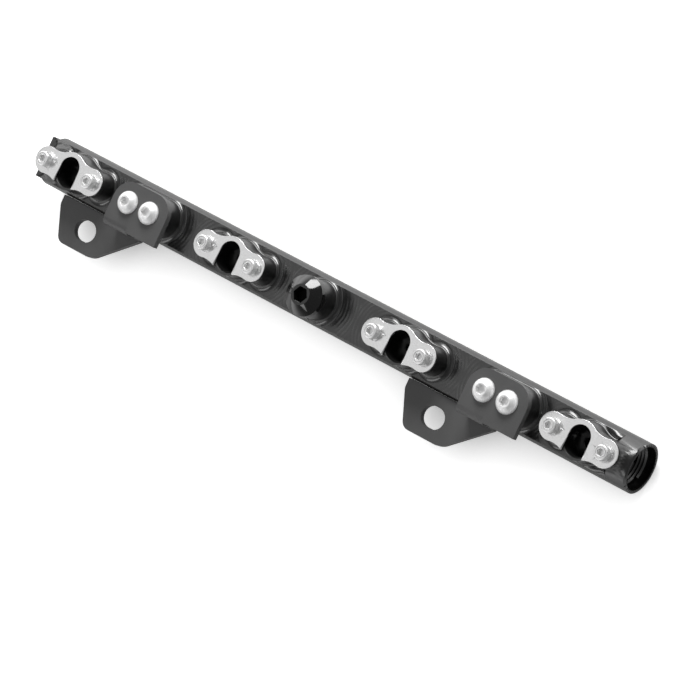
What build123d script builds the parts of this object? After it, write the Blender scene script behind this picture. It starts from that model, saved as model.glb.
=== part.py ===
"""Fuel rail for a four-cylinder engine.

Frame: +X runs along the rail towards its open port, +Z is the injector side,
the mounting brackets hang on the -Y side.  The origin is midway between the
two bracket holes, on the outer face of the tabs.  The pieces are drawn about
the rail axis, with x = 0 midway between the middle injectors, and are moved to
that origin as they are saved.  All sizes are in millimetres.
"""
import math
import os

from build123d import *

# --- injectors ------------------------------------------------------------
injector_pitch = 97.0
injector_count = 4

# --- rail bar -------------------------------------------------------------
rail_d = 22.86                # turned bar
flat_depth = 5.58             # milled off the top of the bar
base_fillet = 0.95            # foot of each boss
foot_margin = 0.07            # flat left between that fillet and the bar's edge
open_end_reach = 23.8         # open end face beyond the last injector axis
plain_end_reach = 23.5        # plain end, under the first boss
round_back_reach = 19.6       # the round back of the bar begins here
slab_t = 4.0                  # thickness of the slab that carries the plain end
end_chamfer = 1.0
gallery_d = 8.0
gallery_end = 2.5             # gallery runs this far past the first injector axis

# --- injector bosses ------------------------------------------------------
injector_boss_h = 9.55        # above the flat
lobe_r = 6.3                  # screw lobe each side of the round centre
lobe_overlap = 1.5            # the lobe circle runs this far into the centre
neck_r = 12.0                 # hollow blend between centre and lobe
injector_wall = 1.8           # boss wall round the injector bore
injector_web = 0.6            # bore floor above the gallery
injector_feed_d = 6.0         # joins the bore to the gallery
bore_lead_in = 0.8

# --- injector clips and their cap screws ----------------------------------
clip_t = 1.5
clip_inset = 0.05             # clip edge inside the boss edge
clip_slot_w = 10.4
clip_slot_arch_y = 1.36       # centre of the slot's round end
clip_edge_break = 0.3
cap_screw_d = 4.0
cap_screw_length = 6.0
cap_head_d = 6.6
cap_head_h = 3.8
cap_head_chamfer = 0.55
cap_socket_af = 3.0
cap_socket_depth = 2.0
screw_hole_gap = 0.5          # clearance hole over screw, on diameter
thread_play = 0.1             # tapped hole over screw, on diameter
tap_run_out = 1.0             # tapped hole beyond the screw tip

# --- mounting brackets ----------------------------------------------------
bracket_inboard = 43.5        # pad boss centre to the outer injector axis
pad_boss_h = 8.55             # above the flat
pad_boss_half_length = 16.2
sheet_t = 3.0
bend_r = 1.0                  # inside radius of both bends
bracket_gap = 0.06            # web and tab to the side of the bar
pad_left_x = -15.2            # x sizes of the bracket are from its pad boss centre
pad_right_x = 16.1
pad_overhang = 0.7            # pad beyond its boss on the side away from the tab
pad_corner_r = 9.0
pad_free_inset = 1.05         # unbent front edge of the pad, behind the web's face
web_right_x = -1.2
tab_top_z = 4.0
tab_left_x = -49.0
tab_shoulder = 4.5            # these three are measured from the tab's inner edge
tab_depth = 20.3
slot_hole_depth = 10.3
tab_foot_x = -41.8
tab_heel_x = -21.3
tab_corner_r = 4.5
tab_heel_r = 8.0
slot_hole_w = 9.8
slot_hole_l = 12.0
slot_hole_x = -30.3

# --- button screws of the brackets -----------------------------------------
button_spacing = 12.5
button_screw_d = 6.0
button_screw_length = 10.0
button_head_d = 10.5
button_head_h = 3.3
button_rim_h = 0.5
button_face_d = 5.6
button_socket_af = 4.0
button_socket_depth = 2.1

# --- middle port and its plug ----------------------------------------------
plug_x = -3.2
plug_boss_h = 10.75           # above the flat
plug_wall = 1.7               # boss wall round the plug thread
plug_thread_length = 8.5
plug_thread_chamfer = 1.0
plug_rim_overhang = 0.45      # rim beyond its boss
plug_rim_h = 2.7
plug_face_d = 9.7
plug_height = 5.8
plug_socket_af = 6.35
plug_socket_turn = 30.0       # two corners of the socket lie across the rail
plug_socket_depth = 4.5
plug_edge_break = 0.3

# --- open end port -----------------------------------------------------------
port_wall = 1.48              # bar round the smooth counterbore
port_mouth_step = 1.2         # counterbore wider than the thread, on radius
port_mouth_depth = 3.5
port_thread_depth = 6.5
drill_half_angle = 59.0

# --- derived -----------------------------------------------------------------
rail_r = rail_d / 2
flat_z = rail_r - flat_depth
flat_half_w = math.sqrt(rail_r**2 - flat_z**2)
injector_boss_z = flat_z + injector_boss_h
pad_boss_z = flat_z + pad_boss_h
plug_boss_z = flat_z + plug_boss_h
boss_r = flat_half_w - base_fillet - foot_margin
first_injector_x = -injector_pitch * (injector_count - 1) / 2
injector_x = [first_injector_x + k * injector_pitch for k in range(injector_count)]
open_end_x = injector_x[-1] + open_end_reach
plain_end_x = injector_x[0] - plain_end_reach
round_back_x = injector_x[0] - round_back_reach
lobe_offset = boss_r + lobe_r - lobe_overlap
injector_bore_r = boss_r - injector_wall
injector_floor_z = gallery_d / 2 + injector_web
clip_top_z = injector_boss_z + clip_t
cap_tip_z = clip_top_z - cap_screw_length
bracket_x = [injector_x[0] + bracket_inboard, injector_x[-1] - bracket_inboard]
pad_top_z = pad_boss_z + sheet_t
button_tip_z = pad_top_z - button_screw_length
bend_outer_r = bend_r + sheet_t
tab_bottom_z = tab_top_z - sheet_t
web_low_z = tab_bottom_z + bend_outer_r
bend_centre_r = rail_r + bracket_gap + bend_outer_r
tab_bend_y = -math.sqrt(bend_centre_r**2 - web_low_z**2)
web_outer_y = tab_bend_y + bend_r
tab_inner_y = -math.sqrt(rail_r**2 - tab_bottom_z**2) - bracket_gap
slot_hole_y = tab_inner_y - slot_hole_depth
plug_thread_d = 2 * (boss_r - plug_wall)
plug_rim_d = 2 * (boss_r + plug_rim_overhang)
plug_rim_z = plug_boss_z + plug_rim_h
plug_face_z = plug_boss_z + plug_height
port_mouth_r = rail_r - port_wall
port_thread_r = port_mouth_r - port_mouth_step
port_floor_x = open_end_x - port_mouth_depth - port_thread_depth
far = 4 * rail_d              # reaches clear of any section of the bar


def on_plane(z):
    """Sketch plane parallel to the flat at height z."""
    return Plane.XY.offset(z)


def hexagon(across_flats):
    """Hexagon sketch of a given size across flats."""
    return RegularPolygon(radius=across_flats / 2, side_count=6, major_radius=False)


def bar_along_x(diameter, x_from, x_to):
    """Round bar on the rail axis."""
    disc = Plane.YZ.offset(x_from) * Circle(diameter / 2)
    return extrude(disc, x_to - x_from)


def post(diameter, z_from, z_to, x=0, y=0):
    """Upright round post or bore."""
    disc = on_plane(z_from) * Pos(x, y) * Circle(diameter / 2)
    return extrude(disc, z_to - z_from)


def boss_outline(inset=0.0):
    """Round centre with a screw lobe each side, blended by hollow necks."""
    shape = Circle(boss_r - inset)
    for side in (-1, 1):
        shape += Pos(side * lobe_offset, 0) * Circle(lobe_r - inset)
    shape = Sketch() + shape
    necks = [v for v in shape.vertices() if 0 < abs(v.X) < boss_r and v.Y != 0]
    return fillet(necks, neck_r)


def boss_foot_edges(body):
    """Edges where a boss wall stands on the flat."""
    last_boss_x = injector_x[-1] + lobe_offset + lobe_r
    on_flat = body.edges().filter_by_position(Axis.Z, flat_z, flat_z)
    inside = on_flat.filter_by_position(Axis.Y, -boss_r, boss_r)
    return inside.filter_by_position(Axis.X, round_back_x, last_boss_x)


def make_rail_body():
    """Bar with the milled flat, its seven bosses, bores and ports."""
    body = bar_along_x(rail_d, round_back_x, open_end_x)
    slab = Plane.YZ.offset(plain_end_x) * Pos(0, flat_z - slab_t / 2) * Rectangle(2 * flat_half_w, slab_t)
    body += extrude(slab, round_back_x - plain_end_x + rail_r)
    above_flat = on_plane(flat_z) * Rectangle(2 * injector_count * injector_pitch, far)
    body -= extrude(above_flat, rail_r)

    # bosses, rising from inside the bar
    for x in injector_x:
        body += extrude(on_plane(0) * Pos(x, 0) * boss_outline(), injector_boss_z)
    for x in bracket_x:
        pad_boss = SlotOverall(2 * pad_boss_half_length, 2 * boss_r)
        body += extrude(on_plane(0) * Pos(x, 0) * pad_boss, pad_boss_z)
    body += post(2 * boss_r, 0, plug_boss_z, plug_x)
    body = fillet(boss_foot_edges(body), base_fillet)

    # the bar stays fully round over the end port
    collar = bar_along_x(rail_d, injector_x[-1] + lobe_offset, open_end_x)
    rim = collar.faces().sort_by(Axis.X)[-1].edges()
    body += chamfer(rim, end_chamfer)
    return cut_end_port(cut_boss_bores(body))


def cut_boss_bores(body):
    """Gallery, injector bores, middle port and the tapped holes of the screws."""
    body -= bar_along_x(gallery_d, injector_x[0] - gallery_end, port_floor_x)
    for x in injector_x:
        bore = post(2 * injector_bore_r, injector_floor_z, injector_boss_z, x)
        lead = Cone(injector_bore_r, injector_bore_r + bore_lead_in, bore_lead_in)
        feed = post(injector_feed_d, 0, injector_boss_z, x)
        body -= bore + feed + Pos(x, 0, injector_boss_z - bore_lead_in / 2) * lead
        for side in (-1, 1):
            hole_x = x + side * lobe_offset
            body -= post(cap_screw_d + thread_play, cap_tip_z - tap_run_out, injector_boss_z, hole_x)
    for x in bracket_x:
        for side in (-1, 1):
            hole_x = x + side * button_spacing / 2
            body -= post(button_screw_d + thread_play, button_tip_z - tap_run_out, pad_boss_z, hole_x)
    return body - post(plug_thread_d + thread_play, 0, plug_boss_z, plug_x)


def cut_end_port(body):
    """Thread bore with a smooth mouth and the drill's cone at its floor."""
    body -= bar_along_x(2 * port_thread_r, port_floor_x, open_end_x)
    body -= bar_along_x(2 * port_mouth_r, open_end_x - port_mouth_depth, open_end_x)
    gallery_r = gallery_d / 2
    cone_l = (port_thread_r - gallery_r) / math.tan(math.radians(drill_half_angle))
    cone = Rot(0, 90, 0) * Cone(gallery_r, port_thread_r, cone_l)
    return body - Pos(port_floor_x - cone_l / 2, 0, 0) * cone


def make_clip():
    """Flat plate on a boss, open slot round the injector neck."""
    slot_l = boss_r + clip_slot_arch_y
    slot = Rectangle(clip_slot_w, slot_l, align=(Align.CENTER, Align.MAX))
    slot += Circle(clip_slot_w / 2)
    outline = boss_outline(clip_inset) - Pos(0, clip_slot_arch_y) * slot
    for side in (-1, 1):
        outline -= Pos(side * lobe_offset, 0) * Circle((cap_screw_d + screw_hole_gap) / 2)
    plate = extrude(on_plane(injector_boss_z) * outline, clip_t)
    top_edges = plate.faces().sort_by(Axis.Z)[-1].outer_wire().edges()
    return chamfer(top_edges, clip_edge_break)


def make_cap_screw():
    """Socket head cap screw, standing on the clip at x = 0."""
    head = post(cap_head_d, clip_top_z, clip_top_z + cap_head_h)
    head = chamfer(head.edges().sort_by(Axis.Z)[-1], cap_head_chamfer)
    shank = post(cap_screw_d, cap_tip_z, clip_top_z)
    socket_z = clip_top_z + cap_head_h - cap_socket_depth
    socket = extrude(on_plane(socket_z) * hexagon(cap_socket_af), cap_socket_depth)
    return head + shank - socket


def make_button_screw():
    """Button head screw, standing on the bracket pad at x = 0."""
    rim_r = button_head_d / 2
    face_r = button_face_d / 2
    dome_h = button_head_h - button_rim_h

    # a sphere through the top of the rim and the edge of the face
    centre_drop = (rim_r**2 - face_r**2 - dome_h**2) / (2 * dome_h)
    dome = Sphere(math.hypot(rim_r, centre_drop))
    dome_centre_z = pad_top_z + button_rim_h - centre_drop
    head = post(button_head_d, pad_top_z, pad_top_z + button_head_h)
    head &= Pos(0, 0, dome_centre_z) * dome
    shank = post(button_screw_d, button_tip_z, pad_top_z)
    socket_z = pad_top_z + button_head_h - button_socket_depth
    socket = extrude(on_plane(socket_z) * hexagon(button_socket_af), button_socket_depth)
    return head + shank - socket


def make_plug():
    """Hex socket port plug with a conical head seated on its boss."""
    rim = post(plug_rim_d, plug_boss_z, plug_rim_z)
    rim = chamfer(rim.edges().sort_by(Axis.Z)[0], plug_edge_break)
    cone_h = plug_face_z - plug_rim_z
    cone = Pos(0, 0, plug_rim_z + cone_h / 2) * Cone(plug_rim_d / 2, plug_face_d / 2, cone_h)
    cone = chamfer(cone.edges().sort_by(Axis.Z)[-1], plug_edge_break)
    shank = post(plug_thread_d, plug_boss_z - plug_thread_length, plug_boss_z)
    shank = chamfer(shank.edges().sort_by(Axis.Z)[0], plug_thread_chamfer)
    socket_z = plug_face_z - plug_socket_depth
    key = Rot(0, 0, plug_socket_turn) * hexagon(plug_socket_af)
    socket = extrude(on_plane(socket_z) * key, plug_socket_depth)
    return Pos(plug_x, 0, 0) * (rim + cone + shank - socket)


def make_bracket():
    """Sheet bracket: pad on the boss, web down beside the rail, slotted tab."""
    web_w = web_right_x - pad_left_x
    pad_top_y = boss_r + pad_overhang
    pad_free_y = web_outer_y + pad_free_inset

    # pad, short of the bend over the web
    pad = Rectangle(pad_right_x - pad_left_x, pad_top_y - pad_free_y, align=(Align.MIN, Align.MIN))
    pad = fillet(pad.vertices().sort_by(Axis.Y)[-2:], pad_corner_r)
    pad -= Rectangle(web_w, bend_outer_r - pad_free_inset, align=(Align.MIN, Align.MIN))
    pad = Pos(pad_left_x, pad_free_y) * pad
    for side in (-1, 1):
        hole = Circle((button_screw_d + screw_hole_gap) / 2)
        pad -= Pos(side * button_spacing / 2, 0) * hole
    bracket = extrude(on_plane(pad_boss_z) * pad, sheet_t)

    # web with a quarter bend at each end
    ring = Circle(bend_outer_r) - Circle(bend_r)
    quarter = Rectangle(bend_outer_r, bend_outer_r, align=(Align.MAX, Align.MIN))
    upper = Pos(web_outer_y + bend_outer_r, pad_top_z - bend_outer_r) * (ring & quarter)
    lower = Pos(tab_bend_y, web_low_z) * (ring & (Rot(0, 0, 180) * quarter))
    web_h = pad_top_z - bend_outer_r - web_low_z
    web = Rectangle(sheet_t, web_h, align=(Align.MIN, Align.MIN))
    section = upper + lower + Pos(web_outer_y, web_low_z) * web
    bracket += extrude(Plane.YZ.offset(pad_left_x) * section, web_w)

    # tab, with its heel edge running up to the end of the web
    bottom_y = tab_inner_y - tab_depth
    corners = [
        (pad_left_x, tab_inner_y),
        (tab_left_x, tab_inner_y),
        (tab_left_x, tab_inner_y - tab_shoulder),
        (tab_foot_x, bottom_y),
        (tab_heel_x, bottom_y),
        (web_right_x, tab_bend_y),
        (pad_left_x, tab_bend_y),
    ]
    tab = make_face(Polyline(corners, close=True))
    outer = tab.vertices().filter_by_position(Axis.X, tab_left_x, tab_foot_x)
    outer = outer.filter_by_position(Axis.Y, bottom_y, tab_inner_y, (True, False))
    tab = fillet(outer, tab_corner_r)
    heel = tab.vertices().filter_by_position(Axis.X, tab_heel_x, tab_heel_x)
    tab = fillet(heel, tab_heel_r)
    tab -= Pos(slot_hole_x, slot_hole_y) * SlotOverall(slot_hole_l, slot_hole_w)
    bracket += extrude(on_plane(tab_bottom_z) * tab, sheet_t)
    return bracket


def all_nodes():
    """Every separate piece under its node name."""
    nodes = {"rail_body": make_rail_body()}
    clip = make_clip()
    cap_screw = make_cap_screw()
    for k, x in enumerate(injector_x, start=1):
        nodes[f"injector_clip_{k}"] = Pos(x, 0, 0) * clip
        for side, letter in ((-1, "a"), (1, "b")):
            nodes[f"clip_screw_{k}{letter}"] = Pos(x + side * lobe_offset, 0, 0) * cap_screw
    bracket = make_bracket()
    button_screw = make_button_screw()
    for k, x in enumerate(bracket_x, start=1):
        nodes[f"bracket_{k}"] = Pos(x, 0, 0) * bracket
        for side, letter in ((-1, "a"), (1, "b")):
            screw_x = x + side * button_spacing / 2
            nodes[f"bracket_screw_{k}{letter}"] = Pos(screw_x, 0, 0) * button_screw
    nodes["port_plug"] = make_plug()
    return nodes


os.makedirs("parts", exist_ok=True)
to_origin = Pos(-slot_hole_x, -slot_hole_y, -tab_top_z)
for name, solid in all_nodes().items():
    export_step(to_origin * solid, f"parts/{name}.step")
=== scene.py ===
import math

import bmesh
import bpy
from mathutils import Matrix, Vector


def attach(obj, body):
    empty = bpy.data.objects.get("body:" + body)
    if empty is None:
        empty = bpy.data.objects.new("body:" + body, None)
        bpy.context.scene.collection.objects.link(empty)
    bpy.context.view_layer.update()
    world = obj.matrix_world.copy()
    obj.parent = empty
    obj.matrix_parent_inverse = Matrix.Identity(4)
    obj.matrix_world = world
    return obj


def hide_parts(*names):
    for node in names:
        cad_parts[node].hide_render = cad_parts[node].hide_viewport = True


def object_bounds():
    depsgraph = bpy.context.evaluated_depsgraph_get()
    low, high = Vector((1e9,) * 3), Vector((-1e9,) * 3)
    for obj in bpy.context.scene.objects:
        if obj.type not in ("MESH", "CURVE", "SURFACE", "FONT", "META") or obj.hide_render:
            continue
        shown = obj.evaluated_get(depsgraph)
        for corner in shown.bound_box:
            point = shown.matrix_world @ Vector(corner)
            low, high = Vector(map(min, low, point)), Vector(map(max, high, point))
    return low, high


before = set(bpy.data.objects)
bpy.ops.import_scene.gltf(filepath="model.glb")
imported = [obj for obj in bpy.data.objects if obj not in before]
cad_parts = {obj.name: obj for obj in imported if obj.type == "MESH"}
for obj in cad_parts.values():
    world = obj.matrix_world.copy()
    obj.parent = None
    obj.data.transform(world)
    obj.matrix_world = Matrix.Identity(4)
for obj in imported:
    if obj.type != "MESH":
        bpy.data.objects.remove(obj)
cad_low, cad_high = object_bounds()

# ---------------------------------------------------------------------------
# Rail body: round aluminium bar, milled flat on one side with the bosses left
# standing, bored, threaded at its open end and anodised gloss black. The last
# passes of the end mill still show round the foot of every boss as raised curved
# lines; their lighter colour is painted sheen.
MM = 0.001


def node_box(node):
    """Corners of the box round a CAD node."""
    points = [vertex.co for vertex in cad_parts[node].data.vertices]
    low = Vector([min(p[axis] for p in points) for axis in range(3)])
    high = Vector([max(p[axis] for p in points) for axis in range(3)])
    return low, high


def linked(name, data):
    """A new object with this mesh, lamp or camera, standing at the origin."""
    made = bpy.data.objects.new(name, data)
    bpy.context.scene.collection.objects.link(made)
    return made


def plain_mesh(worked, name):
    """The mesh an object shows with its modifiers, which are then dropped."""
    shown = worked.evaluated_get(bpy.context.evaluated_depsgraph_get())
    mesh = bpy.data.meshes.new_from_object(shown)
    mesh.name = name
    worked.modifiers.clear()
    return mesh


def clean_copy(node, name, crease_deg=25.0, edge_break=0.0):
    """A closed, merged copy of a CAD piece with flat faces flat and creases sharp."""
    weld_gap = 0.002 * MM
    shell = bmesh.new()
    shell.from_mesh(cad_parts[node].data)
    bmesh.ops.remove_doubles(shell, verts=shell.verts, dist=weld_gap)
    bmesh.ops.dissolve_degenerate(shell, edges=shell.edges, dist=weld_gap / 2)
    mesh = bpy.data.meshes.new(name)
    shell.to_mesh(mesh)
    shell.free()
    piece = linked(name, mesh)
    if edge_break:
        flats = piece.modifiers.new("flats", "DECIMATE")
        flats.decimate_type = "DISSOLVE"
        flats.angle_limit = math.radians(0.4)
        corner = piece.modifiers.new("edge break", "BEVEL")
        corner.width = edge_break
        corner.segments = 2
        corner.limit_method = "ANGLE"
        corner.angle_limit = math.radians(40.0)
        piece.data = plain_mesh(piece, name)
    piece.data.shade_smooth()
    piece.data.set_sharp_from_angle(angle=math.radians(crease_deg))
    weighted = piece.modifiers.new("weighted normals", "WEIGHTED_NORMAL")
    weighted.keep_sharp = True
    weighted.weight = 100
    piece.data = plain_mesh(piece, name)
    return piece


def dress(piece, material, slot, *nodes):
    """Give a finished piece its material and let it stand for its CAD nodes.

    A grown piece passes None, because its node tree has set the material.
    """
    if material:
        piece.data.materials.clear()
        piece.data.materials.append(material)
    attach(piece, "root")
    if nodes:
        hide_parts(*nodes)


class Sums:
    """Maths written into a shader tree."""

    def __init__(self, tree):
        self.tree = tree

    def feed(self, socket, value):
        """Link an output to an input, or set the input's number."""
        if isinstance(value, bpy.types.NodeSocket):
            self.tree.links.new(value, socket)
        else:
            socket.default_value = value

    def maths(self, operation, *values):
        """A maths node; each value is a number or another node's output."""
        node = self.tree.nodes.new("ShaderNodeMath")
        node.operation = operation
        for socket, value in zip(node.inputs, values):
            self.feed(socket, value)
        return node.outputs[0]

    def split(self, vector):
        """The x, y and z outputs of a vector."""
        node = self.tree.nodes.new("ShaderNodeSeparateXYZ")
        self.feed(node.inputs[0], vector)
        return node.outputs


class Shading(Sums):
    """A Principled material whose patterns are written with noise and sums."""

    def __init__(self, name, grey, metallic, roughness, ior=1.5):
        self.material = bpy.data.materials.new(name)
        self.material.use_nodes = True
        super().__init__(self.material.node_tree)
        self.shader = self.tree.nodes["Principled BSDF"]
        self.shader.inputs["Base Color"].default_value = (grey, grey, grey, 1)
        self.shader.inputs["Metallic"].default_value = metallic
        self.shader.inputs["Roughness"].default_value = roughness
        self.shader.inputs["IOR"].default_value = ior
        self.place = self.tree.nodes.new("ShaderNodeTexCoord").outputs["Object"]

    def noise(self, size, detail=2.0, stretch=(1, 1, 1)):
        """Noise whose features are about this many metres across."""
        scaled = self.tree.nodes.new("ShaderNodeMapping")
        scaled.inputs["Scale"].default_value = stretch
        self.feed(scaled.inputs["Vector"], self.place)
        node = self.tree.nodes.new("ShaderNodeTexNoise")
        node.inputs["Scale"].default_value = 1 / size
        node.inputs["Detail"].default_value = detail
        self.feed(node.inputs["Vector"], scaled.outputs[0])
        return node.outputs["Fac"]

    def span(self, value, low, high, from_low=0.0, from_high=1.0):
        """The value moved from one range to another, clamped."""
        node = self.tree.nodes.new("ShaderNodeMapRange")
        limits = (value, from_low, from_high, low, high)
        for socket, number in zip(node.inputs, limits):
            self.feed(socket, number)
        return node.outputs[0]

    def grey(self, value):
        """A grey colour as bright as the value."""
        node = self.tree.nodes.new("ShaderNodeCombineColor")
        for socket in node.inputs:
            self.feed(socket, value)
        return node.outputs[0]

    def bump(self, height, distance):
        """Raise the surface by height times distance."""
        node = self.tree.nodes.new("ShaderNodeBump")
        node.inputs["Strength"].default_value = 1.0
        node.inputs["Distance"].default_value = distance
        self.feed(node.inputs["Height"], height)
        self.feed(self.shader.inputs["Normal"], node.outputs[0])

    def set(self, name, value):
        """Feed one of the shader's inputs."""
        self.feed(self.shader.inputs[name], value)


def rail_material():
    """Gloss black anodising over milling marks on the flat, painted lighter along them as sheen,
    and turning lines on the bar.
    """
    black = Shading("rail_anodised_black", 0.006, 0.0, 0.16, ior=1.77)
    clip_boxes = [node_box(f"injector_clip_{k}") for k in range(1, 5)]
    injector_x = [(low.x + high.x) / 2 for low, high in clip_boxes]
    middle_x = sum(injector_x) / 4
    pitch = injector_x[1] - injector_x[0]
    plug_low, plug_high = node_box("port_plug")
    screw_low, screw_high = node_box("clip_screw_1b")
    lobe_x = (screw_low.x + screw_high.x) / 2 - injector_x[0]
    axis_y = (plug_low.y + plug_high.y) / 2
    plug_x = (plug_low.x + plug_high.x) / 2
    boss_r = 8.8 * MM
    lobe_r = 6.3 * MM
    pad_x = 102.0 * MM
    pad_half = 7.4 * MM
    flat_z = 1.85 * MM
    pass_width = 1.7 * MM
    ridge_height = 0.02 * MM
    turning_pitch = 0.35 * MM
    dish_width = 3.6 * MM

    x, y, z = black.split(black.place)
    across = black.maths("SUBTRACT", y, axis_y)

    def reach(along, radius):
        """Distance beyond a circle of this radius."""
        along_square = black.maths("POWER", along, 2.0)
        square = black.maths("ADD", along_square, black.maths("POWER", across, 2.0))
        return black.maths("SUBTRACT", black.maths("SQRT", square), radius)

    from_middle = black.maths("ABSOLUTE", black.maths("SUBTRACT", x, middle_x))
    folded = black.maths("PINGPONG", black.maths("SUBTRACT", from_middle, pitch / 2), pitch / 2)
    beyond = reach(folded, boss_r)
    from_lobe = black.maths("SUBTRACT", folded, lobe_x)
    beyond = black.maths("MINIMUM", beyond, reach(from_lobe, lobe_r))
    pad_off = black.maths("ABSOLUTE", black.maths("SUBTRACT", from_middle, pad_x))
    pad_end = black.maths("MAXIMUM", black.maths("SUBTRACT", pad_off, pad_half), 0.0)
    beyond = black.maths("MINIMUM", beyond, reach(pad_end, boss_r))
    beyond = black.maths("MINIMUM", beyond, reach(black.maths("SUBTRACT", x, plug_x), boss_r))

    # one raised line where each pass of the cutter overlaps the last
    uneven = black.span(black.noise(6 * MM, 2.0), -0.35, 0.35)
    passes = black.maths("ADD", black.maths("DIVIDE", beyond, pass_width), uneven)
    wave = black.maths("SINE", black.maths("MULTIPLY", passes, 2 * math.pi))
    ridge = black.span(wave, 0.0, 1.0, -1.0, 1.0)
    patchy = black.span(black.noise(5 * MM, 1.0), 0.15, 1.0, 0.35, 0.65)
    on_flat = black.maths("COMPARE", z, flat_z, 0.05 * MM)
    # the flat ends under the last boss, where the bar turns round again
    fade_from_x = injector_x[3] - 2 * MM
    fade_to_x = injector_x[3] + lobe_x - 3 * MM
    before_end = black.span(x, 1.0, 0.0, fade_from_x, fade_to_x)
    milled = black.maths("MULTIPLY", on_flat, before_end)
    cutter_marks_and_sheen = black.maths("MULTIPLY", black.maths("MULTIPLY", ridge, patchy), milled)

    # fine turning lines round the bar, everywhere but on the flat
    lines = black.maths("SINE", black.maths("MULTIPLY", x, 2 * math.pi / turning_pitch))
    off_flat = black.maths("SUBTRACT", 1.0, on_flat)
    turned = black.maths("MULTIPLY", black.maths("MULTIPLY", lines, 0.04), off_flat)
    grain = black.maths("MULTIPLY", black.noise(0.5 * MM, 3.0), 0.12)
    marks = black.maths("ADD", black.maths("ADD", cutter_marks_and_sheen, turned), grain)
    marks = black.maths("MULTIPLY", marks, ridge_height)

    # the cutter's round nose leaves the flat dished up towards every boss
    rise = black.span(beyond, 1.0, 0.0, 0.0, dish_width)
    dish = black.maths("MULTIPLY", black.maths("POWER", rise, 2.0), dish_width / 2)
    height = black.maths("ADD", marks, black.maths("MULTIPLY", dish, milled))
    black.bump(height, 1.0)
    # painted sheen: the base colour is lighter along the cutter's raised lines, standing in for
    # their highlights
    black.set("Base Color", black.grey(black.span(cutter_marks_and_sheen, 0.008, 0.04)))
    rough = black.span(black.noise(9 * MM, 3.0), 0.16, 0.22)
    rough = black.maths("ADD", rough, black.span(cutter_marks_and_sheen, 0.0, 0.1))
    rough = black.maths("ADD", rough, black.span(off_flat, 0.0, 0.1))
    black.set("Roughness", rough)
    return black.material


def wound_ridge(tree, turns, radius, length, depth, steps_per_turn):
    """Nodes of a thread: a four-sided ridge wound right-handed up an upright axis."""
    link = tree.links.new
    coil = tree.nodes.new("GeometryNodeCurveSpiral")
    coil.inputs["Resolution"].default_value = steps_per_turn
    link(turns, coil.inputs["Rotations"])
    link(radius, coil.inputs["Start Radius"])
    link(radius, coil.inputs["End Radius"])
    link(length, coil.inputs["Height"])
    upright = tree.nodes.new("GeometryNodeSetCurveNormal")
    upright.mode = "Z_UP"
    link(coil.outputs[0], upright.inputs[0])
    diamond = tree.nodes.new("GeometryNodeCurvePrimitiveCircle")
    diamond.inputs["Resolution"].default_value = 4
    link(depth, diamond.inputs["Radius"])
    ridge = tree.nodes.new("GeometryNodeCurveToMesh")
    ridge.inputs["Fill Caps"].default_value = True
    link(upright.outputs[0], ridge.inputs["Curve"])
    link(diamond.outputs[0], ridge.inputs["Profile Curve"])
    faceted = tree.nodes.new("GeometryNodeSetShadeSmooth")
    faceted.inputs["Shade Smooth"].default_value = False
    link(ridge.outputs[0], faceted.inputs[0])
    return faceted.outputs[0]


def coated(tree, geometry, material, end):
    """Last nodes of a tree: instances made real, then the material set."""
    solid = tree.nodes.new("GeometryNodeRealizeInstances")
    tree.links.new(geometry, solid.inputs[0])
    coat = tree.nodes.new("GeometryNodeSetMaterial")
    tree.links.new(solid.outputs[0], coat.inputs["Geometry"])
    tree.links.new(material, coat.inputs["Material"])
    tree.links.new(coat.outputs[0], end)


def thread_tree(name):
    """Node tree of a bare thread, for a bore."""
    tree = bpy.data.node_groups.new(name, "GeometryNodeTree")
    sockets = tree.interface.new_socket
    sockets("Geometry", in_out="INPUT", socket_type="NodeSocketGeometry")
    sockets("Geometry", in_out="OUTPUT", socket_type="NodeSocketGeometry")
    for label in ("Radius", "Depth", "Length", "Turns"):
        sockets(label, in_out="INPUT", socket_type="NodeSocketFloat")
    sockets("Material", in_out="INPUT", socket_type="NodeSocketMaterial")
    start = tree.nodes.new("NodeGroupInput").outputs
    end = tree.nodes.new("NodeGroupOutput").inputs
    sizes = (start["Turns"], start["Radius"], start["Length"], start["Depth"])
    coated(tree, wound_ridge(tree, *sizes, 40), start["Material"], end[0])
    return tree


def grown(name, tree, values, source=None):
    """Grow a mesh with a node tree, its inputs set by their identifiers.

    The mesh keeps one material slot, as the tree leaves an empty one first.
    """
    holder = linked(name, source or bpy.data.meshes.new(name))
    growth = holder.modifiers.new(name, "NODES")
    growth.node_group = tree
    for item in tree.interface.items_tree:
        if item.in_out == "INPUT" and item.name in values:
            growth[item.identifier] = values[item.name]
    mesh = plain_mesh(holder, name)
    bpy.data.objects.remove(holder)
    mesh.materials.clear()
    mesh.materials.append(values["Material"])
    mesh.polygons.foreach_set("material_index", [0] * len(mesh.polygons))
    return mesh


rail_black = rail_material()
rail = clean_copy("rail_body", "rail_body_finished")
rail_low, rail_high = node_box("rail_body")
rail_axis_y = (rail_low.y + rail_high.y) / 2
rail_axis_z = rail_low.z + (rail_high.y - rail_low.y) / 2

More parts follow.
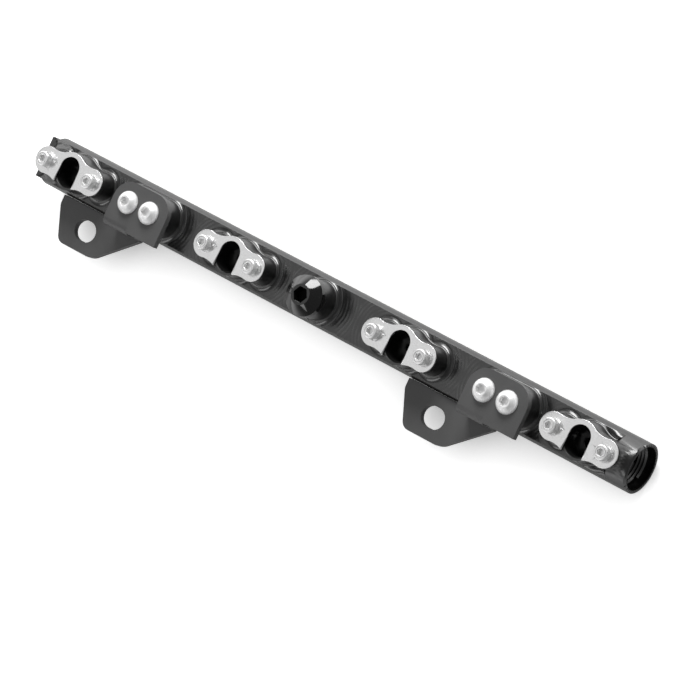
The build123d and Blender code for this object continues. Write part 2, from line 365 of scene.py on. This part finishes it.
# the bore of the end port is opened to the root of its thread
port_crest_r = 8.75 * MM
port_root_r = 9.5 * MM
port_thread_l = 6.5 * MM
port_mouth_x = rail_high.x - 3.5 * MM
port_pitch = 1.5875 * MM
port_run_out = 0.8 * MM
for vertex in rail.data.vertices:
    from_axis = Vector((vertex.co.y - rail_axis_y, vertex.co.z - rail_axis_z))
    on_bore = abs(from_axis.length - port_crest_r) < 0.02 * MM
    if on_bore and vertex.co.x > port_mouth_x - port_thread_l - 1.5 * MM:
        from_axis *= port_root_r / from_axis.length
        vertex.co.y = rail_axis_y + from_axis.x
        vertex.co.z = rail_axis_z + from_axis.y
port_values = {
    "Radius": port_root_r,
    "Depth": port_root_r - port_crest_r,
    "Length": port_thread_l - 2 * port_run_out,
    "Turns": (port_thread_l - 2 * port_run_out) / port_pitch,
    "Material": rail_black,
}
port_mesh = grown("end_port_thread", thread_tree("thread ridge"), port_values)
port_thread = linked("end_port_thread", port_mesh)
along_rail = Matrix.Rotation(math.radians(90), 4, "Y")
port_start_x = port_mouth_x - port_thread_l + port_run_out
port_start = Vector((port_start_x, rail_axis_y, rail_axis_z))
port_mesh.transform(Matrix.Translation(port_start) @ along_rail)
dress(port_thread, None, "rail_anodised")

# deep in the port the black is painted shade: a darker, duller material on the faces inside the
# bore
shade_depth = 9 * MM
shade_r = 10.45 * MM
bore_shade = Shading("bore_painted_shade_black", 0.004, 0.0, 0.45, ior=1.25)
bore_shade.bump(bore_shade.noise(0.3 * MM, 2.0), 0.004 * MM)
dress(rail, rail_black, "rail_anodised", "rail_body")
rail.data.materials.append(bore_shade.material)
# faces inside the port's mouth take the painted shade material
for face in rail.data.polygons:
    off_axis = math.hypot(face.center.y - rail_axis_y, face.center.z - rail_axis_z)
    if face.center.x > port_mouth_x - shade_depth and off_axis < shade_r:
        face.material_index = 1

# ---------------------------------------------------------------------------
# Injector clips: flat plates cut from aluminium sheet, finely brushed and
# clear anodised, with a bright broken edge.  One lies on each injector boss
# and grips the injector's groove with its open slot.


def clip_material():
    """Satin aluminium with a fine grain along the rail."""
    satin = Shading("clip_satin", 0.9, 1.0, 0.2)
    grain = satin.noise(0.35 * MM, 4.0, (0.35, 1, 1))
    cloudy = satin.noise(3 * MM, 2.0)
    satin.set("Base Color", satin.grey(satin.span(grain, 0.84, 0.93, 0.3, 0.7)))
    satin.set("Roughness", satin.span(cloudy, 0.17, 0.26, 0.3, 0.7))
    satin.bump(grain, 0.004 * MM)
    return satin.material


def narrow_edge(piece, top_z, broken, kept):
    """Draw the 45 degree broken edge of a plate's top in to a finer width."""
    level = 0.02 * MM
    shape = bmesh.new()
    shape.from_mesh(piece.data)
    foot = {v for v in shape.verts if abs(v.co.z - top_z + broken) < level}
    moves = {}
    for vertex in shape.verts:
        if abs(vertex.co.z - top_z) < level:
            below = [edge.other_vert(vertex) for edge in vertex.link_edges]
            below = [other for other in below if other in foot]
            if below:
                nearest = min(below, key=lambda other: (other.co - vertex.co).length)
                out = nearest.co - vertex.co
                moves[vertex] = Vector((out.x, out.y, 0)) * (1 - kept / broken)
    for vertex in foot:
        moves[vertex] = Vector((0, 0, broken - kept))
    for vertex, move in moves.items():
        vertex.co += move
    shape.to_mesh(piece.data)
    shape.free()


clip_satin = clip_material()
chamfer_width = 0.3 * MM
clip_edge_break = 0.12 * MM
for k in range(1, 5):
    clip = clean_copy(f"injector_clip_{k}", f"clip_plate_{k}", 60.0)
    clip_top_z = node_box(f"injector_clip_{k}")[1].z
    narrow_edge(clip, clip_top_z, chamfer_width, clip_edge_break)
    dress(clip, clip_satin, "clip_plate", f"injector_clip_{k}")

# ---------------------------------------------------------------------------
# Clip screws: eight M4 socket head cap screws of plain stainless steel, heads
# straight-knurled, turned up to wherever each one came tight.


def turned_blank(name, profile, across_flats, socket_depth, segments=48):
    """A turned solid with a hex socket: profile is (radius, height) from tip to face."""
    lead_in = 0.12 * MM
    blank = bmesh.new()
    angles = [2 * math.pi * k / segments for k in range(segments)]

    def ring(radius_at, height):
        """A ring of points whose radius may follow the angle."""
        points = [(radius_at(a) * math.cos(a), radius_at(a) * math.sin(a), height) for a in angles]
        return [blank.verts.new(point) for point in points]

    def hex_radius(angle):
        """Radius of the socket's wall at this angle."""
        return across_flats / 2 / math.cos(angle % (math.pi / 3) - math.pi / 6)

    face_z = profile[-1][1]
    floor_z = face_z - socket_depth
    rings = [ring(lambda a, r=radius: r, height) for radius, height in profile]
    rings.append(ring(lambda a: hex_radius(a) + lead_in, face_z))
    rings.append(ring(hex_radius, face_z - lead_in))
    rings.append(ring(hex_radius, floor_z))
    for lower, upper in zip(rings, rings[1:]):
        for k in range(segments):
            after = (k + 1) % segments
            blank.faces.new((lower[k], lower[after], upper[after], upper[k]))
    blank.faces.new(list(reversed(rings[0])))
    drill = blank.verts.new((0, 0, floor_z - 0.15 * across_flats))
    for k in range(segments):
        blank.faces.new((rings[-1][k], rings[-1][(k + 1) % segments], drill))
    bmesh.ops.recalc_face_normals(blank, faces=blank.faces)
    mesh = bpy.data.meshes.new(name)
    blank.to_mesh(mesh)
    blank.free()
    mesh.shade_smooth()
    mesh.set_sharp_from_angle(angle=math.radians(28.0))
    return mesh


def lifted(tree, geometry, height):
    """Nodes that raise geometry by a height."""
    lift = tree.nodes.new("ShaderNodeCombineXYZ")
    tree.links.new(height, lift.inputs["Z"])
    raised = tree.nodes.new("GeometryNodeTransform")
    tree.links.new(lift.outputs[0], raised.inputs["Translation"])
    tree.links.new(geometry, raised.inputs["Geometry"])
    return raised.outputs[0]


def knurl_ring(tree, count, radius, size, height, middle):
    """Nodes of straight knurls: one upright rib on each point of a ring."""
    link = tree.links.new
    ring = tree.nodes.new("GeometryNodeMeshCircle")
    link(count, ring.inputs["Vertices"])
    link(radius, ring.inputs["Radius"])
    rib_size = tree.nodes.new("ShaderNodeCombineXYZ")
    link(size, rib_size.inputs["X"])
    link(size, rib_size.inputs["Y"])
    link(height, rib_size.inputs["Z"])
    rib = tree.nodes.new("GeometryNodeMeshCube")
    link(rib_size.outputs[0], rib.inputs["Size"])
    spot = tree.nodes.new("GeometryNodeInputPosition")
    outward = tree.nodes.new("FunctionNodeAlignRotationToVector")
    outward.axis = "X"
    link(spot.outputs[0], outward.inputs["Vector"])
    edge_on = tree.nodes.new("FunctionNodeRotateRotation")
    edge_on.rotation_space = "LOCAL"
    edge_on.inputs["Rotate By"].default_value = (0, 0, math.pi / 4)
    link(outward.outputs[0], edge_on.inputs["Rotation"])
    ribs = tree.nodes.new("GeometryNodeInstanceOnPoints")
    link(ring.outputs[0], ribs.inputs["Points"])
    link(rib.outputs[0], ribs.inputs["Instance"])
    link(edge_on.outputs[0], ribs.inputs["Rotation"])

    # a head without knurls has a count of nought
    knurled = tree.nodes.new("FunctionNodeCompare")
    knurled.data_type = "INT"
    knurled.operation = "GREATER_THAN"
    link(count, knurled.inputs[2])
    knurled.inputs[3].default_value = 2
    chosen = tree.nodes.new("GeometryNodeSwitch")
    chosen.input_type = "GEOMETRY"
    link(knurled.outputs[0], chosen.inputs["Switch"])
    link(lifted(tree, ribs.outputs[0], middle), chosen.inputs["True"])
    return chosen.outputs[0]


def screw_tree(name):
    """Node tree: a threaded, knurled screw set on every seat, each turned its own way."""
    tree = bpy.data.node_groups.new(name, "GeometryNodeTree")
    sockets = tree.interface.new_socket
    sockets("Seats", in_out="INPUT", socket_type="NodeSocketGeometry")
    sockets("Geometry", in_out="OUTPUT", socket_type="NodeSocketGeometry")
    sockets("Blank", in_out="INPUT", socket_type="NodeSocketObject")
    labels = ("Core Radius", "Thread Depth", "Thread Length", "Thread Turns", "Tip Height")
    labels += ("Knurl Radius", "Knurl Size", "Knurl Height", "Knurl Middle", "Turn Limit")
    for label in labels:
        sockets(label, in_out="INPUT", socket_type="NodeSocketFloat")
    for label in ("Knurl Count", "Seed"):
        sockets(label, in_out="INPUT", socket_type="NodeSocketInt")
    sockets("Material", in_out="INPUT", socket_type="NodeSocketMaterial")
    start = tree.nodes.new("NodeGroupInput").outputs
    end = tree.nodes.new("NodeGroupOutput").inputs
    link = tree.links.new

    thread_labels = ("Thread Turns", "Core Radius", "Thread Length", "Thread Depth")
    thread = wound_ridge(tree, *[start[label] for label in thread_labels], 24)
    knurl_labels = ("Knurl Count", "Knurl Radius", "Knurl Size", "Knurl Height", "Knurl Middle")
    knurls = knurl_ring(tree, *[start[label] for label in knurl_labels])
    blank = tree.nodes.new("GeometryNodeObjectInfo")
    link(start["Blank"], blank.inputs["Object"])
    screw = tree.nodes.new("GeometryNodeJoinGeometry")
    link(blank.outputs["Geometry"], screw.inputs[0])
    link(lifted(tree, thread, start["Tip Height"]), screw.inputs[0])
    link(knurls, screw.inputs[0])

    # one screw on each seat
    turn = tree.nodes.new("FunctionNodeRandomValue")
    turn.data_type = "FLOAT"
    link(start["Turn Limit"], turn.inputs[3])
    link(start["Seed"], turn.inputs["Seed"])
    about = tree.nodes.new("ShaderNodeCombineXYZ")
    link(turn.outputs[1], about.inputs["Z"])
    seated = tree.nodes.new("GeometryNodeInstanceOnPoints")
    link(start["Seats"], seated.inputs["Points"])
    link(screw.outputs[0], seated.inputs["Instance"])
    link(about.outputs[0], seated.inputs["Rotation"])
    coated(tree, seated.outputs[0], start["Material"], end[0])
    return tree


def seats_of(name, nodes, under_head):
    """Seat points on the axes of these CAD screws, under_head below their tops."""
    points = []
    for low, high in map(node_box, nodes):
        points.append(((low.x + high.x) / 2, (low.y + high.y) / 2, high.z - under_head))
    seats = bpy.data.meshes.new(name)
    seats.from_pydata(points, [], [])
    return seats


def steel_material(name, grey, roughness, metallic):
    """Plain stainless steel, softened by the fine roughness that tumbling leaves."""
    steel = Shading(name, grey, metallic, roughness)
    scratch = steel.noise(0.4 * MM, 3.0, (1, 0.3, 1))
    steel.set("Roughness", steel.span(scratch, roughness - 0.05, roughness + 0.08, 0.3, 0.7))
    steel.bump(scratch, 0.004 * MM)
    return steel.material


screws = screw_tree("socket screws")
cap_steel = steel_material("cap_screw_stainless", 0.94, 0.3, 0.72)
head_r = 3.3 * MM
head_h = 3.8 * MM
head_wall_r = head_r - 0.1 * MM
core_r = 1.62 * MM
shank_l = 6.0 * MM
tip_chamfer = 0.3 * MM
neck_chamfer = 0.25 * MM
groove_out_r = head_r - 0.75 * MM
groove_in_r = head_r - 1.2 * MM
groove_z = head_h - 0.6 * MM
cap_profile = [
    (core_r - tip_chamfer, -shank_l),
    (core_r, -shank_l + tip_chamfer),
    (core_r, -neck_chamfer),
    (core_r + neck_chamfer, 0),
    (head_r - 0.25 * MM, 0),
    (head_wall_r, 0.15 * MM),
    (head_wall_r, head_h - 0.35 * MM),
    (head_r - 0.4 * MM, head_h - 0.04 * MM),
    (groove_out_r + 0.01 * MM, head_h),
    (groove_out_r, groove_z),
    (groove_in_r, groove_z),
    (groove_in_r - 0.01 * MM, head_h),
]
cap_key = 3.0 * MM
cap_socket_depth = 2.0 * MM
cap_blank_mesh = turned_blank("cap_screw_blank", cap_profile, cap_key, cap_socket_depth)
cap_blank = linked("cap_screw_blank", cap_blank_mesh)
cap_nodes = [f"clip_screw_{k}{letter}" for k in range(1, 5) for letter in "ab"]
cap_values = {
    "Blank": cap_blank,
    "Core Radius": core_r,
    "Thread Depth": 0.36 * MM,
    "Thread Length": 4.9 * MM,
    "Thread Turns": 7.0,
    "Tip Height": -5.6 * MM,
    "Knurl Count": 40,
    "Knurl Radius": head_r - 0.14 * MM,
    "Knurl Size": 0.19 * MM,
    "Knurl Height": 2.6 * MM,
    "Knurl Middle": 1.6 * MM,
    "Turn Limit": 2 * math.pi,
    "Seed": 7,
    "Material": cap_steel,
}
cap_mesh = grown("clip_screws", screws, cap_values, seats_of("cap seats", cap_nodes, head_h))
dress(linked("clip_screws", cap_mesh), None, "cap_screw", *cap_nodes)
bpy.data.objects.remove(cap_blank)

# ---------------------------------------------------------------------------
# Mounting brackets: 3 mm steel sheet, cut, bent twice and coated matt black.
# Each is held on its boss by its pad and carries a slotted tab for the bolt.


def bracket_material():
    """Matt black coat with the soft orange-peel of a sprayed powder."""
    coat = Shading("bracket_matt_black", 0.05, 0.0, 0.5)
    peel = coat.noise(0.9 * MM, 3.0)
    cloudy = coat.noise(14 * MM, 2.0)
    coat.set("Base Color", coat.grey(coat.span(cloudy, 0.077, 0.095, 0.3, 0.7)))
    coat.set("Roughness", coat.span(cloudy, 0.42, 0.54, 0.3, 0.7))
    coat.bump(peel, 0.02 * MM)
    return coat.material


bracket_black = bracket_material()
bracket_edge_break = 0.12 * MM
for k in (1, 2):
    bracket = clean_copy(f"bracket_{k}", f"sheet_bracket_{k}", 30.0, bracket_edge_break)
    dress(bracket, bracket_black, "bracket_coat", f"bracket_{k}")

# ---------------------------------------------------------------------------
# Bracket screws: four M6 button head screws of bright stainless steel, two
# through each pad.
button_steel = steel_material("button_screw_stainless", 0.96, 0.42, 0.5)
button_r = 5.25 * MM
button_h = 3.3 * MM
button_rim = 0.5 * MM
button_face_r = 2.8 * MM
button_core = 2.5 * MM
button_shank = 10.0 * MM
dome_h = button_h - button_rim
dome_drop = (button_r**2 - button_face_r**2 - dome_h**2) / (2 * dome_h)
dome_r = math.hypot(button_r, dome_drop)
button_tip = 0.4 * MM
button_neck = 0.3 * MM
button_profile = [
    (button_core - button_tip, -button_shank),
    (button_core, -button_shank + button_tip),
    (button_core, -button_neck),
    (button_core + button_neck, 0),
    (button_r - 0.1 * MM, 0),
    (button_r, 0.12 * MM),
    (button_r, button_rim),
]
dome_steps = 9
for step in range(1, dome_steps + 1):
    radius = button_r + (button_face_r - button_r) * step / dome_steps
    button_profile.append((radius, button_rim + math.sqrt(dome_r**2 - radius**2) - dome_drop))
button_key = 4.0 * MM
button_socket_depth = 2.1 * MM
button_mesh = turned_blank("button_blank", button_profile, button_key, button_socket_depth)
button_blank = linked("button_blank", button_mesh)
button_nodes = [f"bracket_screw_{k}{letter}" for k in (1, 2) for letter in "ab"]
button_values = {
    "Blank": button_blank,
    "Core Radius": button_core,
    "Thread Depth": 0.5 * MM,
    "Thread Length": 8.4 * MM,
    "Thread Turns": 8.4,
    "Tip Height": -9.4 * MM,
    "Turn Limit": 2 * math.pi,
    "Seed": 3,
    "Material": button_steel,
}
button_seats = seats_of("button seats", button_nodes, button_h)
button_grown = grown("bracket_screws", screws, button_values, button_seats)
dress(linked("bracket_screws", button_grown), None, "button_screw", *button_nodes)
bpy.data.objects.remove(button_blank)

# ---------------------------------------------------------------------------
# Middle port plug: turned from aluminium bar and anodised gloss black, with a
# conical head, a hex socket for the key and a straight thread.
plug_gloss = Shading("plug_anodised_black", 0.006, 0.0, 0.1, ior=1.62)
plug_low, plug_high = node_box("port_plug")
plug_x = (plug_low.x + plug_high.x) / 2
plug_y = (plug_low.y + plug_high.y) / 2
plug_across = plug_gloss.tree.nodes.new("ShaderNodeMapping")
plug_across.inputs["Location"].default_value = (-plug_x, -plug_y, 0)
plug_gloss.feed(plug_across.inputs["Vector"], plug_gloss.place)
side_x, side_y, _ = plug_gloss.split(plug_across.outputs[0])
side_x_square = plug_gloss.maths("POWER", side_x, 2.0)
out_square = plug_gloss.maths("ADD", side_x_square, plug_gloss.maths("POWER", side_y, 2.0))
plug_out = plug_gloss.maths("SQRT", out_square)
plug_turning = 0.22 * MM
tool_angle = plug_gloss.maths("MULTIPLY", plug_out, 2 * math.pi / plug_turning)
tool_line = plug_gloss.maths("SINE", tool_angle)
plug_gloss.bump(plug_gloss.span(tool_line, 0.0, 1.0, -1.0, 1.0), 0.0006 * MM)
smears = plug_gloss.noise(2 * MM, 3.0)
plug_gloss.set("Roughness", plug_gloss.span(smears, 0.07, 0.13, 0.3, 0.7))

plug_r = (plug_high.x - plug_low.x) / 2
plug_core = 6.35 * MM
rim_low = 0.3 * MM
rim_top = 2.7 * MM
plug_face_r = 4.85 * MM
plug_top = 5.8 * MM
plug_shank = 8.5 * MM
plug_profile = [
    (plug_core - 0.5 * MM, -plug_shank),
    (plug_core, -plug_shank + 0.5 * MM),
    (plug_core, 0),
    (plug_r - rim_low, 0),
    (plug_r, rim_low),
    (plug_r, rim_top - 0.12 * MM),
    (plug_r - 0.12 * MM, rim_top),
    (plug_face_r + 0.3 * MM, plug_top - 0.28 * MM),
    (plug_face_r - 0.15 * MM, plug_top),
]
plug_key = 6.35 * MM
plug_socket_depth = 4.5 * MM
plug_mesh = turned_blank("plug_blank", plug_profile, plug_key, plug_socket_depth, 96)
plug_blank = linked("plug_blank", plug_mesh)
plug_values = {
    "Blank": plug_blank,
    "Core Radius": plug_core,
    "Thread Depth": 0.72 * MM,
    "Thread Length": 6.4 * MM,
    "Thread Turns": 4.0,
    "Tip Height": -7.7 * MM,
    "Turn Limit": 0.0,
    "Material": plug_gloss.material,
}
plug_seats = seats_of("plug seat", ["port_plug"], plug_top)
plug_grown = grown("middle_port_plug", screws, plug_values, plug_seats)

# the walls and floor of the socket get painted shade: a darker, duller material
socket_shade = Shading("plug_socket_painted_shade", 0.004, 0.0, 0.5, ior=1.2)
plug_grown.materials.append(socket_shade.material)
socket_r = 3.6 * MM
socket_top_z = plug_high.z - 0.2 * MM
socket_low_z = plug_high.z - 7 * MM
for face in plug_grown.polygons:
    out = math.hypot(face.center.x - plug_x, face.center.y - plug_y)
    if out < socket_r and socket_low_z < face.center.z < socket_top_z:
        face.material_index = 1
dress(linked("middle_port_plug", plug_grown), None, "plug_anodised", "port_plug")
bpy.data.objects.remove(plug_blank)

# ---------------------------------------------------------------------------
# Studio: a pale floor that keeps the rail's shadow, a key softbox behind, soft
# panels high on the left and in front, and a dim room with a brighter horizon.
floor_mesh = bpy.data.meshes.new("studio_floor")
floor_half = 6.0
floor_z = cad_low.z - 0.05 * MM
floor_corners = [(-floor_half, -floor_half), (floor_half, -floor_half)]
floor_corners += [(floor_half, floor_half), (-floor_half, floor_half)]
floor_mesh.from_pydata([(x, y, floor_z) for x, y in floor_corners], [], [(0, 1, 2, 3)])
floor = linked("studio_floor", floor_mesh)
floor_white = Shading("floor_white", 0.93, 0.0, 0.9)
floor_white.set("Specular IOR Level", 0.0)
sight = floor_white.tree.nodes.new("ShaderNodeLightPath").outputs

# to the eye the floor glows white, with painted shade from ambient occlusion in the hollows under
# the rail
eye_glow = 0.9
hollow = floor_white.tree.nodes.new("ShaderNodeAmbientOcclusion")
hollow.inputs["Distance"].default_value = 30 * MM
glow_with_painted_shade = floor_white.maths("MULTIPLY", hollow.outputs["AO"], eye_glow)
seen = floor_white.maths("MULTIPLY", sight["Is Camera Ray"], glow_with_painted_shade)

# in the rail's reflections the floor glows white behind it; close under the rail that glow is
# darkened as a painted shadow
shade_y = 38 * MM
white_y = 85 * MM
floor_y = floor_white.split(floor_white.place)[1]
behind = floor_white.span(floor_y, 0.05, 1.0, shade_y, white_y)
reflected_glow_with_painted_shadow = floor_white.maths("MULTIPLY", sight["Is Glossy Ray"], behind)
glow = floor_white.tree.nodes.new("ShaderNodeEmission")
floor_white.feed(glow.inputs["Strength"], floor_white.maths("ADD", seen, reflected_glow_with_painted_shadow))
both = floor_white.tree.nodes.new("ShaderNodeAddShader")
floor_white.feed(both.inputs[0], floor_white.shader.outputs[0])
floor_white.feed(both.inputs[1], glow.outputs[0])
floor_out = floor_white.tree.nodes["Material Output"].inputs["Surface"]
floor_white.feed(floor_out, both.outputs[0])
floor.data.materials.append(floor_white.material)

# the room: dim overhead, with a soft band low down that is brighter to the left
room_dim = 0.15
band_dim = 0.6
band_height = 0.08
band_width = 0.2
world = bpy.data.worlds.new("studio")
bpy.context.scene.world = world
world.use_nodes = True
room = Sums(world.node_tree)
toward = room.tree.nodes.new("ShaderNodeTexCoord").outputs["Generated"]
toward_x, toward_y, toward_z = room.split(toward)
above_band = room.maths("DIVIDE", room.maths("SUBTRACT", toward_z, band_height), band_width)
band_fall = room.maths("MULTIPLY", room.maths("POWER", above_band, 2.0), -1.0)
band = room.maths("EXPONENT", band_fall)
band_glow = band_dim
for azimuth_deg, strength in ((135.0, 1.9), (-130.0, 1.1)):
    azimuth = math.radians(azimuth_deg)
    along_x = room.maths("MULTIPLY", toward_x, math.cos(azimuth))
    facing = room.maths("ADD", along_x, room.maths("MULTIPLY", toward_y, math.sin(azimuth)))
    lobe = room.maths("POWER", room.maths("MAXIMUM", facing, 0.0), 2.0)
    band_glow = room.maths("ADD", room.maths("MULTIPLY", lobe, strength), band_glow)
background = room.tree.nodes["Background"].inputs
background["Color"].default_value = (1, 1, 1, 1)
room_glow = room.maths("ADD", room.maths("MULTIPLY", band, band_glow), room_dim)
room.feed(background["Strength"], room_glow)


def softbox(name, direction, width, height, radiance):
    """A soft lamp that faces the rail from a direction, its width along the rail."""
    distance = 1.6
    aim = Vector((0.03, 0.01, 0))
    lamp = bpy.data.lights.new(name, "AREA")
    lamp.shape = "RECTANGLE"
    lamp.size = width
    lamp.size_y = height
    lamp.energy = radiance * math.pi * width * height
    away = Vector(direction).normalized()
    along = Vector((1, 0, 0))
    side = (along - away * away.dot(along)).normalized()
    facing = Matrix((side, away.cross(side), away)).transposed()
    box = linked(name, lamp)
    box.matrix_world = Matrix.Translation(aim + away * distance) @ facing.to_4x4()


softbox("key_lamp", (-0.17, 0.84, 0.52), 1.08, 0.56, 13.0)
softbox("high_left_lamp", (-0.50, -0.09, 0.86), 1.5, 1.2, 0.57)
softbox("front_lamp", (-0.11, -0.77, 0.63), 1.2, 0.36, 2.6)

# ---------------------------------------------------------------------------
# Camera: stands high beyond the open end and looks down along the rail, so
# that the rail runs from the upper left to the lower right.
view_right = Vector((0.76106, 0.42387, -0.49104))
view_up = Vector((-0.40525, 0.90176, 0.15032))
view_back = Vector((0.50652, 0.08459, 0.85807))
camera_place = Vector((0.906237, 0.151679, 1.449286))
camera_data = bpy.data.cameras.new("camera")
camera_data.sensor_width = 36.0
camera_data.lens = 200.63
camera_data.clip_start = 0.05
camera_data.clip_end = 50.0
camera = linked("camera", camera_data)
camera_turn = Matrix((view_right, view_up, view_back)).transposed()
camera.matrix_world = Matrix.Translation(camera_place) @ camera_turn.to_4x4()
bpy.context.scene.camera = camera
bpy.context.scene.view_settings.view_transform = "Standard"
